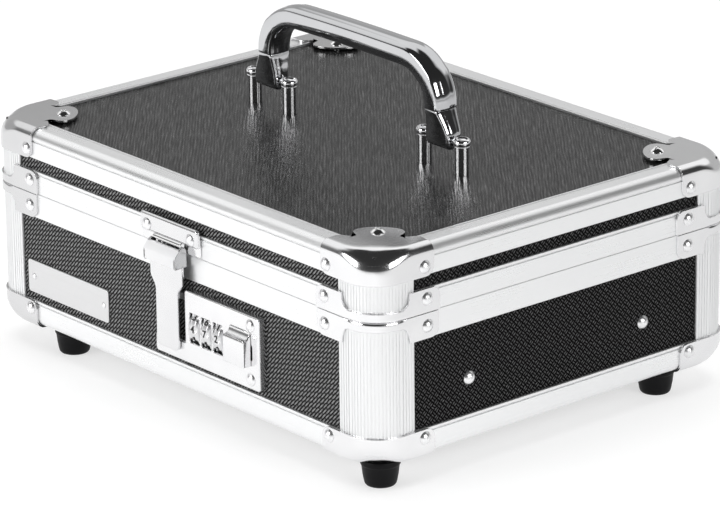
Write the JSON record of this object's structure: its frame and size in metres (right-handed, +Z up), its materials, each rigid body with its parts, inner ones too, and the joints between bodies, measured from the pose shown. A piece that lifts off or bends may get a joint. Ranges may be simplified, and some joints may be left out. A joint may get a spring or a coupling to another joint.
{
  "type": "hard carrying case",
  "caption": "Small aluminium-framed hard case with hinged lid, folding loop handle, combination hasp latch, rubber feet and padded tray for a folding drone.",
  "frame": {"origin": "middle of the case in plan, on the plane under the four feet", "axes": "+X to the right along the width, -Y out of the front where the latch is, +Z up"},
  "size_m": [0.2754, 0.227, 0.1588],
  "materials": {
    "laminate_black": "black embossed laminate over fibreboard",
    "laminate_top": "dark grey fine-ribbed laminate, semi-gloss",
    "anodised": "satin anodised extrusion with fine lengthwise lines",
    "nickel": "bright nickel-plated pressed steel",
    "chrome": "mirror chrome",
    "zinc": "zinc-plated steel",
    "rubber": "moulded matte rubber",
    "foam": "closed-cell foam",
    "tray": "black textured plastic",
    "nameplate": "brushed aluminium"
  },
  "bodies": {
    "base": {"base_front_panel": "laminate_black", "base_rear_panel": "laminate_black", "base_left_panel": "laminate_black", "base_right_panel": "laminate_black", "base_bottom_panel": "laminate_black", "base_bottom_rails_front_rear": "anodised", "base_bottom_rails_sides": "anodised", "base_upper_rails_front_rear": "anodised", "base_upper_rails_sides": "anodised", "base_corner_posts": "anodised", "side_ledges": "anodised", "base_bottom_corner_caps": "nickel", "base_upper_corner_caps": "nickel", "base_rivets": "nickel", "ledge_rivets": "nickel", "lock_plate": "nickel", "lock_rivets": "nickel", "nameplate_pins": "nickel", "hinge_base_leaves": "nickel", "foot_screws": "zinc", "lock_housing": "zinc", "dial_shaft": "zinc", "bolt_spring": "zinc", "hinge_pins": "zinc", "rubber_feet": "rubber", "tray_foam": "foam", "floor_foam": "foam", "tray": "tray", "nameplate": "nameplate"},
    "lid": {"lid_top_panel": "laminate_top", "lid_front_panel": "laminate_black", "lid_rear_panel": "laminate_black", "lid_left_panel": "laminate_black", "lid_right_panel": "laminate_black", "lid_top_rails_front_rear": "anodised", "lid_top_rails_sides": "anodised", "lid_lower_rails_front_rear": "anodised", "lid_lower_rails_sides": "anodised", "lid_corner_posts": "anodised", "lid_top_corner_caps": "nickel", "lid_lower_corner_caps": "nickel", "lid_rivets": "nickel", "lid_corner_screws": "nickel", "keeper_plate": "nickel", "keeper_screws": "nickel", "hasp_pin": "zinc", "hinge_lid_leaves": "nickel", "lid_foam": "foam", "handle_posts": "chrome", "handle_backing_plates": "zinc", "handle_nuts": "zinc", "handle_pins": "zinc"},
    "handle": {"handle_grip": "chrome"},
    "hasp": {"hasp": "nickel"},
    "release": {"release_button": "nickel", "lock_bolt": "zinc"},
    "dial_1": {"dial_1": "chrome"},
    "dial_2": {"dial_2": "chrome"},
    "dial_3": {"dial_3": "chrome"}
  },
  "joints": [
    {"name": "lid_hinge", "type": "hinge", "parent": "base", "child": "lid", "pos_m": [0, 0.1081, 0.0767], "axis": [-1, 0, 0], "range_deg": [0, 100]},
    {"name": "handle_fold", "type": "hinge", "parent": "lid", "child": "handle", "pos_m": [0, 0, 0.1192], "axis": [1, 0, 0], "range_deg": [-96, 96]},
    {"name": "hasp_hinge", "type": "hinge", "parent": "lid", "child": "hasp", "pos_m": [0, -0.1099, 0.0773], "axis": [-1, 0, 0], "range_deg": [0, 80]},
    {"name": "release_slide", "type": "slide", "parent": "base", "child": "release", "axis": [1, 0, 0], "range_m": [0, 0.004], "stiffness_N_per_m": 250},
    {"name": "dial_1_turn", "type": "hinge", "parent": "base", "child": "dial_1", "pos_m": [0.0168, -0.1002, 0.0442], "axis": [1, 0, 0], "continuous": true},
    {"name": "dial_2_turn", "type": "hinge", "parent": "base", "child": "dial_2", "pos_m": [0.025, -0.1002, 0.0442], "axis": [1, 0, 0], "continuous": true},
    {"name": "dial_3_turn", "type": "hinge", "parent": "base", "child": "dial_3", "pos_m": [0.0332, -0.1002, 0.0442], "axis": [1, 0, 0], "continuous": true}
  ]
}
